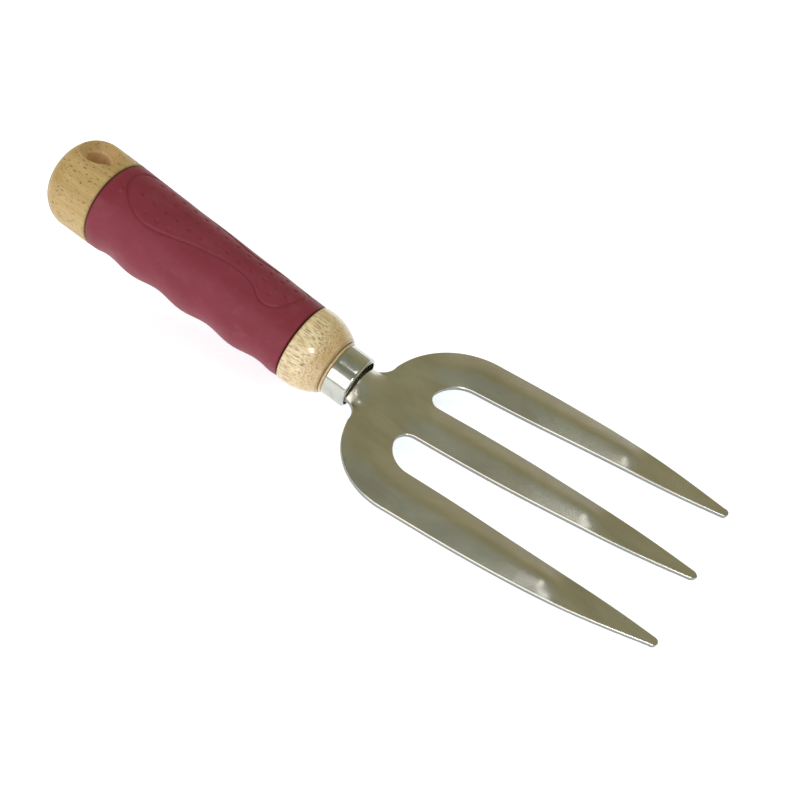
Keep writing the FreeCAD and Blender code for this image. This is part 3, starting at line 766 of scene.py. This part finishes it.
def build_sleeve():
    """Grip sleeve: tapered tube with finger waves below and the thumb panel on top."""
    angles = 2 * math.pi * np.arange(SLEEVE_SEGMENTS) / SLEEVE_SEGMENTS
    ends = SLEEVE_EDGE * (1 - np.cos(np.radians(np.arange(0, 91, FILLET_STEP))))
    body_start = SLEEVE_BACK + SLEEVE_EDGE + SLEEVE_PITCH
    body_stop = SLEEVE_FRONT - SLEEVE_EDGE - SLEEVE_PITCH / 2
    body = np.arange(body_start, body_stop, SLEEVE_PITCH)
    stations = np.concatenate([SLEEVE_BACK + ends, body, (SLEEVE_FRONT - ends)[::-1]])
    s, a = np.meshgrid(stations, angles, indexing="ij")
    s = s.ravel()
    a = a.ravel()
    inset = np.minimum(SLEEVE_FRONT - s, s - SLEEVE_BACK)
    under = ((1 - np.cos(a)) / 2) ** UNDER_POWER
    swing = np.cos(2 * math.pi * (s - WAVE_CREST) / WAVE_PITCH)
    wave = WAVE_HEIGHT * under * smooth(inset / WAVE_FADE) * swing
    left = np.clip(SLEEVE_EDGE - inset, 0, SLEEVE_EDGE)
    eased = SLEEVE_EDGE - np.sqrt(SLEEVE_EDGE ** 2 - left ** 2)
    turns = (a + math.pi) % (2 * math.pi) - math.pi
    reach = sleeve_base(s) + wave - eased + sleeve_relief(s, turns)
    points = [np.column_stack([s, reach * np.sin(a), reach * np.cos(a)])]
    for station in (SLEEVE_FRONT, SLEEVE_BACK):
        radius = sleeve_base(station) - SLEEVE_WALL
        ring = [np.full(SLEEVE_SEGMENTS, station), radius * np.sin(angles), radius * np.cos(angles)]
        points.append(np.column_stack(ring))
    faces = grid_faces(len(stations) + 2, SLEEVE_SEGMENTS, closed_rows=True)
    return make_piece("grip", np.vstack(points), faces, HANDLE_POSE, "grip_sleeve")


# ------------------------------------------------------------------ materials
class Surface:
    """A principled material whose patterns are laid out in millimetres of the handle frame."""

    def __init__(self, name, pose, **inputs):
        self.material = bpy.data.materials.new(name)
        self.material.use_nodes = True
        self.tree = self.material.node_tree
        self.shader = self.tree.nodes["Principled BSDF"]
        for key, value in inputs.items():
            self.shader.inputs[key.replace("_", " ")].default_value = value
        # the pieces have their pose in the mesh, so the pattern space is turned back by it
        back = pose.inverted()
        place = self.node("ShaderNodeTexCoord").outputs["Object"]
        mapping = self.node("ShaderNodeMapping", Vector=place)
        mapping.inputs["Scale"].default_value = (1 / MM,) * 3
        mapping.inputs["Rotation"].default_value = back.to_euler()
        mapping.inputs["Location"].default_value = back.to_translation() / MM
        self.place = mapping.outputs["Vector"]
        split = self.node("ShaderNodeSeparateXYZ", Vector=self.place)
        self.along, self.left = split.outputs[:2]

    def node(self, kind, settings=None, **inputs):
        node = self.tree.nodes.new(kind)
        for key, value in (settings or {}).items():
            setattr(node, key, value)
        for key, value in inputs.items():
            self.feed(node.inputs[key.replace("_", " ")], value)
        return node

    def feed(self, socket, value):
        if isinstance(value, bpy.types.NodeSocket):
            self.tree.links.new(value, socket)
        else:
            socket.default_value = value

    def math(self, operation, *values, clamp=False):
        node = self.tree.nodes.new("ShaderNodeMath")
        node.operation = operation
        node.use_clamp = clamp
        for socket, value in zip(node.inputs, values):
            self.feed(socket, value)
        return node.outputs[0]

    def stretched(self, x, y, z, shift=0.0):
        """The place with each direction scaled: features become 1/scale millimetres long."""
        node = self.node("ShaderNodeMapping", Vector=self.place, Scale=(x, y, z), Location=(shift,) * 3)
        return node.outputs[0]

    def noise(self, vector, detail=3.0, rough=0.5, warp=0.0):
        node = self.node(
            "ShaderNodeTexNoise", Vector=vector, Scale=1.0, Detail=detail, Roughness=rough, Distortion=warp,
        )
        return node.outputs["Fac"]

    def cells(self, vector):
        """Scattered cells as a node that gives Distance from the nearest centre and a random Color."""
        return self.node("ShaderNodeTexVoronoi", Vector=vector, Scale=1.0)

    def spots(self, vector, core, edge, strength=1.0):
        """Dots about the cell centres: at full strength inside core and gone past edge."""
        return self.span(self.cells(vector).outputs["Distance"], core, edge, strength, 0.0)

    def span(self, value, low, high, to_low=0.0, to_high=1.0, curve="SMOOTHSTEP"):
        node = self.node(
            "ShaderNodeMapRange", {"interpolation_type": curve},
            Value=value, From_Min=low, From_Max=high, To_Min=to_low, To_Max=to_high,
        )
        return node.outputs[0]

    def mix(self, share, first, second, blend="MIX"):
        node = self.tree.nodes.new("ShaderNodeMix")
        node.data_type = "RGBA"
        node.blend_type = blend
        self.feed(node.inputs["Factor"], share)
        for socket, value in ((node.inputs[6], first), (node.inputs[7], second)):
            self.feed(socket, (*value, 1) if isinstance(value, tuple) else value)
        return node.outputs[2]

    def near(self, value, centre, core, edge):
        """One where the value is within core of the centre, zero past edge."""
        gap = self.math("ABSOLUTE", self.math("SUBTRACT", value, centre))
        return self.span(gap, core, edge, 1.0, 0.0)

    def times(self, first, second):
        return self.math("MULTIPLY", first, second)

    def plus(self, first, second):
        return self.math("ADD", first, second)

    def bump(self, height, depth, below=None):
        """Relief of the given depth in millimetres."""
        node = self.node("ShaderNodeBump", Strength=1.0, Distance=depth * MM, Height=height)
        if below is not None:
            self.feed(node.inputs["Normal"], below)
        return node.outputs[0]

    def set(self, **values):
        for key, value in values.items():
            self.feed(self.shader.inputs[key.replace("_", " ")], value)

    def put_on(self, piece):
        piece.data.materials.clear()
        piece.data.materials.append(self.material)


def stainless():
    """Pressed stainless sheet with a dull roller polish, long faint streaks and a few handling marks."""
    dull, bright = (0.50, 0.485, 0.45), (0.60, 0.585, 0.55)
    warm_streak, stain_brown = (0.60, 0.545, 0.47), (0.48, 0.40, 0.31)
    speck_brown, sheared_grey = (0.16, 0.12, 0.09), (0.20, 0.205, 0.21)
    s = Surface("stainless", HEAD_POSE, Metallic=1.0)
    streaks = s.noise(s.stretched(0.012, 0.22, 0.22), detail=4.0, rough=0.55)
    clouds = s.noise(s.stretched(0.03, 0.05, 0.05, 7.0), detail=4.0, rough=0.6, warp=0.6)
    stain = s.span(s.noise(s.stretched(0.02, 0.09, 0.09, 31.0), detail=5.0, rough=0.6, warp=0.8), 0.5, 0.72)
    specks = s.spots(s.stretched(0.16, 0.24, 0.24), core=0.03, edge=0.06)
    tint = s.mix(s.span(clouds, 0.35, 0.68), dull, bright)
    tint = s.mix(s.times(s.span(streaks, 0.42, 0.66), 0.45), tint, warm_streak)
    tint = s.mix(s.times(stain, 0.40), tint, stain_brown)
    tint = s.mix(s.times(specks, 0.5), tint, speck_brown)
    # the sheared wall of the sheet is darker and rougher than its faces
    sheared = s.span(s.node("ShaderNodeAttribute", {"attribute_name": "cut_edge"}).outputs["Fac"], 0.55, 1.0)
    tint = s.mix(s.times(sheared, 0.8), tint, sheared_grey)
    grain = s.noise(s.stretched(0.5, 9.0, 9.0), detail=2.0)
    fine = s.noise(s.stretched(3.0, 14.0, 14.0, 3.0), detail=2.0)
    scratches = s.spots(s.stretched(0.045, 0.9, 0.9, 5.0), core=0.015, edge=0.04)
    rough = s.plus(s.span(clouds, 0.3, 0.7, 0.20, 0.26), s.span(grain, 0.3, 0.7, -0.03, 0.03))
    rough = s.plus(rough, s.times(scratches, 0.1))
    rough = s.plus(rough, s.times(sheared, 0.18))
    relief = s.bump(grain, depth=0.006)
    relief = s.bump(fine, depth=0.003, below=relief)
    relief = s.bump(s.times(scratches, -1.0), depth=0.01, below=relief)
    s.set(Base_Color=tint, Roughness=rough, Normal=relief)
    return s


def chrome():
    """Bright plated tube with fingerprints, hairlines and a few pits."""
    clean, fingered, pit_brown = (0.53, 0.53, 0.50), (0.46, 0.46, 0.43), (0.2, 0.18, 0.15)
    s = Surface("chrome_plate", HEAD_POSE, Metallic=1.0)
    smudge = s.noise(s.stretched(0.25, 0.25, 0.25), detail=5.0, rough=0.6, warp=0.5)
    hair = s.noise(s.stretched(6.0, 0.8, 0.8), detail=3.0, rough=0.6)
    pits = s.spots(s.stretched(0.7, 0.7, 0.7), core=0.03, edge=0.08)
    waviness = s.noise(s.stretched(0.3, 0.3, 0.3, 9.0), detail=1.0)
    tint = s.mix(s.span(smudge, 0.4, 0.7), clean, fingered)
    tint = s.mix(s.times(pits, 0.5), tint, pit_brown)
    rough = s.plus(s.span(smudge, 0.35, 0.75, 0.09, 0.17), s.span(hair, 0.5, 0.8, 0.0, 0.05))
    relief = s.bump(hair, depth=0.002)
    relief = s.bump(waviness, depth=0.03, below=relief)
    s.set(Base_Color=tint, Roughness=rough, Normal=relief)
    return s


def wood_pores(s):
    """Open pores: short dashes along the grain, dots where the grain runs out."""
    cells = s.cells(s.stretched(0.40, 1.5, 1.5, 2.0))
    size = s.node("ShaderNodeSeparateXYZ", Vector=cells.outputs["Color"]).outputs[0]
    patches = s.span(s.noise(s.stretched(0.04, 0.09, 0.09, 23.0), detail=2.0), 0.36, 0.6, 0.55, 1.0)
    reach = s.times(s.span(size, 0.05, 1.0, 0.08, 0.45, "LINEAR"), patches)
    pores = s.math("SUBTRACT", 1.0, s.math("DIVIDE", cells.outputs["Distance"], reach), clamp=True)
    return s.span(pores, 0.0, 0.3)


def wood_painted_shade(s):
    """Painted shade in the cove and where wood meets the sleeve."""
    cove = s.near(s.along, COVE_STATION, core=0.2, edge=0.9)
    rear = s.near(s.along, BUTT_FRONT, core=0.1, edge=0.9)
    front = s.near(s.along, BULB_REAR, core=0.1, edge=0.8)
    return s.math("MAXIMUM", s.times(cove, 0.75), s.math("MAXIMUM", rear, front))


def wood():
    """Pale open-pored hardwood under a thin clear lacquer; grain runs along the handle."""
    tan, cream, fibre_brown = (0.56, 0.40, 0.20), (0.66, 0.51, 0.30), (0.45, 0.30, 0.12)
    # the first is the darker butt tone, the second is painted light that pales the bulb
    butt_darker, bulb_painted_light = (0.80, 0.72, 0.52), (1.24, 1.33, 1.5)
    pore_brown, line_brown, cove_brown = (0.20, 0.10, 0.035), (0.30, 0.16, 0.05), (0.56, 0.33, 0.14)
    # the olive colour is painted shade for the cove and the seams with the sleeve
    sunk_orange, bore_painted_light, shade_olive = (0.78, 0.50, 0.22), (0.92, 0.66, 0.42), (0.27, 0.19, 0.075)
    s = Surface("pale_hardwood", HANDLE_POSE, Coat_Roughness=0.11, Coat_IOR=1.62)
    bands = s.noise(s.stretched(0.010, 0.16, 0.11), detail=3.0, rough=0.5, warp=0.7)
    fibre = s.noise(s.stretched(0.06, 2.6, 2.6), detail=3.0, rough=0.6)
    tint = s.mix(s.span(bands, 0.35, 0.65), tan, cream)
    tint = s.mix(s.times(s.span(fibre, 0.46, 0.72), 0.68), tint, fibre_brown)
    # darker toward the butt; toward the bulb the wood is lifted past its own colour, painted light on the
    # bulb
    tone_and_painted_light = s.mix(s.span(s.along, -120.0, -30.0, 0.0, 1.0, "LINEAR"), butt_darker, bulb_painted_light)
    tint = s.mix(1.0, tint, tone_and_painted_light, "MULTIPLY")
    pores = wood_pores(s)
    tint = s.mix(s.times(pores, s.span(s.along, -60.0, -32.0, 1.0, 0.65)), tint, pore_brown)
    # long dark vessel lines on the bulb, which browns toward the cove
    lines = s.spots(s.stretched(0.20, 2.5, 2.5, 17.0), core=0.22, edge=0.5)
    lines = s.times(lines, s.span(s.along, -45.0, -32.0, 0.35, 1.0))
    tint = s.mix(s.times(lines, 0.9), tint, line_brown)
    tint = s.mix(s.span(s.along, -20.0, -11.5, 0.0, 0.45), tint, cove_brown)
    # hanging hole: bare wood turns warmer toward the countersink; the bore's inside is paled, painted light
    off = s.math("SUBTRACT", s.along, HOLE_STATION)
    off_axis = s.math("SQRT", s.plus(s.times(off, off), s.times(s.left, s.left)))
    sunk = s.span(off_axis, HOLE_RADIUS + 1.0, HOLE_RADIUS + HOLE_SINK, 1.0, 0.0)
    tint = s.mix(s.times(sunk, 0.32), tint, sunk_orange)
    # painted light: the inside of the bore is paled as if lit through the hole
    bore = s.span(off_axis, HOLE_RADIUS - 0.3, HOLE_RADIUS + 0.9, 1.0, 0.0)
    tint = s.mix(s.times(bore, 0.85), tint, bore_painted_light)
    # painted shade: olive-brown darkening in the cove and at both seams with the sleeve
    tint = s.mix(s.times(wood_painted_shade(s), 0.7), tint, shade_olive)
    rough = s.plus(s.span(s.along, -125.0, -25.0, 0.46, 0.30), s.span(fibre, 0.3, 0.8, -0.04, 0.08))
    relief = s.bump(fibre, depth=0.02)
    relief = s.bump(s.times(pores, -1.0), depth=0.12, below=relief)
    varnish = s.span(s.along, -60.0, -32.0, 0.08, 0.58)
    s.set(Base_Color=tint, Roughness=rough, Normal=relief, Coat_Weight=varnish)
    return s


def rubber():
    """Soft-touch burgundy grip with a fine moulded tooth, rubbed paler here and there."""
    deep, worn = (0.200, 0.021, 0.039), (0.222, 0.029, 0.052)
    rubbed_pink, dust_pink = (0.26, 0.075, 0.10), (0.42, 0.24, 0.24)
    s = Surface("soft_grip", HANDLE_POSE, Specular_IOR_Level=0.24)
    clouds = s.noise(s.stretched(0.035, 0.06, 0.06), detail=5.0, rough=0.6, warp=0.5)
    rubbed = s.noise(s.stretched(0.12, 0.15, 0.15, 11.0), detail=6.0, rough=0.65)
    dust = s.spots(s.stretched(0.22, 0.3, 0.3, 4.0), core=0.02, edge=0.045, strength=0.5)
    tooth = s.noise(s.stretched(4.0, 4.0, 4.0), detail=2.0, rough=0.6)
    unevenness = s.noise(s.stretched(0.5, 0.5, 0.5, 2.0), detail=2.0)
    tint = s.mix(s.span(clouds, 0.35, 0.65), deep, worn)
    tint = s.mix(s.times(s.span(rubbed, 0.5, 0.8), 0.35), tint, rubbed_pink)
    tint = s.mix(dust, tint, dust_pink)
    rough = s.plus(s.span(clouds, 0.3, 0.7, 0.42, 0.50), s.span(rubbed, 0.4, 0.8, 0.03, -0.05))
    relief = s.bump(tooth, depth=0.025)
    relief = s.bump(unevenness, depth=0.05, below=relief)
    s.set(Base_Color=tint, Roughness=rough, Normal=relief)
    return s


def weld_metal():
    """Rippled, heat-tinted bead under the neck."""
    straw, blue = (0.42, 0.36, 0.28), (0.30, 0.29, 0.33)
    s = Surface("weld_bead", HEAD_POSE, Metallic=1.0)
    ripple = s.node(
        "ShaderNodeTexWave", {"bands_direction": "X"}, Vector=s.place, Scale=0.55, Distortion=2.0, Detail=2.0,
    ).outputs["Fac"]
    heat = s.noise(s.stretched(0.4, 0.4, 0.4), detail=4.0)
    tint = s.mix(s.span(heat, 0.35, 0.65), straw, blue)
    s.set(Base_Color=tint, Roughness=s.span(heat, 0.3, 0.7, 0.35, 0.6), Normal=s.bump(ripple, depth=0.12))
    return s


def tang_steel():
    """Drawn bar with lengthwise die lines and a little oxide."""
    clean, rusty = (0.47, 0.46, 0.44), (0.28, 0.21, 0.16)
    s = Surface("tang_bar", HEAD_POSE, Metallic=1.0)
    lines = s.noise(s.stretched(0.15, 7.0, 7.0), detail=3.0)
    oxide = s.noise(s.stretched(0.2, 0.3, 0.3), detail=5.0, rough=0.65)
    tint = s.mix(s.span(oxide, 0.45, 0.7), clean, rusty)
    rough = s.plus(s.span(oxide, 0.4, 0.7, 0.34, 0.55), s.span(lines, 0.3, 0.7, -0.04, 0.05))
    s.set(Base_Color=tint, Roughness=rough, Normal=s.bump(lines, depth=0.01))
    return s


def glue():
    """Cured amber adhesive with small bubbles."""
    amber, honey = (0.42, 0.29, 0.12), (0.52, 0.38, 0.18)
    s = Surface("amber_adhesive", HEAD_POSE, Coat_Weight=0.3, Coat_Roughness=0.2)
    haze = s.noise(s.stretched(0.5, 0.5, 0.5), detail=4.0)
    bubbles = s.spots(s.stretched(1.6, 1.6, 1.6), core=0.1, edge=0.3)
    tint = s.mix(s.span(haze, 0.35, 0.65), amber, honey)
    s.set(Base_Color=tint, Roughness=s.span(haze, 0.3, 0.7, 0.35, 0.55), Normal=s.bump(bubbles, depth=0.1))
    return s


head = build_head()
ferrule = build_ferrule()
handle = build_handle()
sleeve = build_sleeve()
stainless().put_on(head)
chrome().put_on(ferrule)
wood().put_on(handle)
rubber().put_on(sleeve)
nodes = frame["nodes"]
tang_steel().put_on(nodes["tang"])
weld_metal().put_on(nodes["tang_weld"])
glue().put_on(nodes["tang_adhesive"])


# ------------------------------------------------------------------ camera, light, floor
# The camera's place in millimetres and its three axes, in the handle frame.
CAMERA_PLACE = (70.92, -215.36, 306.31)
CAMERA_RIGHT = (0.79707, 0.54989, 0.24960)
CAMERA_DOWN = (0.59088, -0.62483, -0.51034)
CAMERA_FORWARD = (-0.12468, 0.55426, -0.82295)


def place_camera():
    right, down, forward = Vector(CAMERA_RIGHT), Vector(CAMERA_DOWN), Vector(CAMERA_FORWARD)
    turn = Matrix((right, -down, -forward)).transposed().to_4x4()
    camera = bpy.data.objects.new("camera", bpy.data.cameras.new("camera"))
    bpy.context.scene.collection.objects.link(camera)
    camera.matrix_world = HEAD_POSE @ Matrix.Translation(Vector(CAMERA_PLACE) * MM) @ turn
    camera.data.sensor_width = 36.0
    camera.data.lens = 44.86
    camera.data.shift_x = 0.0055
    camera.data.shift_y = 0.0448
    camera.data.clip_start = 0.01
    camera.data.clip_end = 20.0
    bpy.context.scene.camera = camera


def area_light(name, place, size, power, colour=(1.0, 1.0, 1.0), target=(0.0, 0.0, 0.0)):
    """A rectangular light of the given size in metres, turned to face its target."""
    light = bpy.data.lights.new(name, "AREA")
    light.shape = "RECTANGLE"
    light.size, light.size_y = size
    light.energy = power
    light.color = colour
    lamp = bpy.data.objects.new(name, light)
    bpy.context.scene.collection.objects.link(lamp)
    lamp.location = place
    lamp.rotation_mode = "QUATERNION"
    lamp.rotation_quaternion = (Vector(target) - Vector(place)).to_track_quat("-Z", "Y")
    return lamp


def make_lights():
    """A wide window on the near side, a lamp overhead, a small glint for the lacquer, and soft fill."""
    daylight = (1.0, 0.99, 0.95)
    tool_height = (0.0, 0.0, 0.03)
    area_light("window", (0.0, -1.07, 0.56), (1.5, 0.85), power=6.4, colour=daylight, target=tool_height)
    area_light("lamp", (0.40, -0.13, 2.6), size=(0.75, 0.36), power=1.6)
    glint = area_light("glint", (0.65, -0.89, 1.02), size=(0.28, 0.28), power=4.2)
    glint.visible_diffuse = False
    fill = area_light("fill", (-0.2, 0.5, 1.3), size=(1.2, 1.2), power=6.6)
    fill.visible_glossy = False


def make_floor():
    """Plain pale sheet, softly lit through like a light table."""
    half = 4.0
    grey, pale = (0.86, 0.86, 0.86), (0.9, 0.9, 0.9)
    glow = (0.84, 0.92, 1, 1)
    mesh = bpy.data.meshes.new("floor")
    corners = [(-half, -half, 0), (half, -half, 0), (half, half, 0), (-half, half, 0)]
    mesh.from_pydata(corners, [], [(0, 1, 2, 3)])
    floor = bpy.data.objects.new("floor", mesh)
    bpy.context.scene.collection.objects.link(floor)
    paper = Surface("floor_paper", Matrix.Identity(4), Emission_Color=glow, Emission_Strength=0.66)
    tooth = paper.noise(paper.stretched(0.8, 0.8, 0.8), detail=4.0)
    rough = paper.span(tooth, 0.3, 0.7, 0.85, 0.95)
    paper.set(Base_Color=paper.mix(tooth, grey, pale), Roughness=rough, Normal=paper.bump(tooth, depth=0.05))
    paper.put_on(floor)


# Colour of the room by direction across the tool: near side, overhead, far side.
ROOM = [
    (0.00, (0.80, 0.78, 0.72)),
    (0.18, (0.62, 0.61, 0.54)),
    (0.27, (0.34, 0.35, 0.27)),
    (0.36, (0.30, 0.31, 0.22)),
    (0.60, (0.36, 0.38, 0.29)),
    (0.76, (0.36, 0.345, 0.205)),
    (0.87, (0.39, 0.36, 0.21)),
    (0.94, (0.45, 0.42, 0.27)),
    (1.00, (0.55, 0.53, 0.42)),
]


def make_world():
    """Sky that changes only across the tool, by the ramp of ROOM."""
    world = bpy.data.worlds.new("studio")
    world.use_nodes = True
    tree = world.node_tree
    direction = tree.nodes.new("ShaderNodeTexCoord").outputs["Generated"]
    split = tree.nodes.new("ShaderNodeSeparateXYZ")
    tree.links.new(direction, split.inputs[0])
    share = tree.nodes.new("ShaderNodeMapRange")
    share.inputs["From Min"].default_value = -1.0
    tree.links.new(split.outputs[1], share.inputs["Value"])
    ramp = tree.nodes.new("ShaderNodeValToRGB")
    stops = ramp.color_ramp.elements
    while len(stops) < len(ROOM):
        stops.new(0.5)
    for stop, (at, colour) in zip(stops, ROOM):
        stop.position = at
        stop.color = (*colour, 1)
    tree.links.new(share.outputs[0], ramp.inputs[0])
    tree.links.new(ramp.outputs[0], tree.nodes["Background"].inputs["Color"])
    bpy.context.scene.world = world


place_camera()
make_floor()
make_world()
make_lights()
bpy.context.scene.view_settings.view_transform = "Standard"
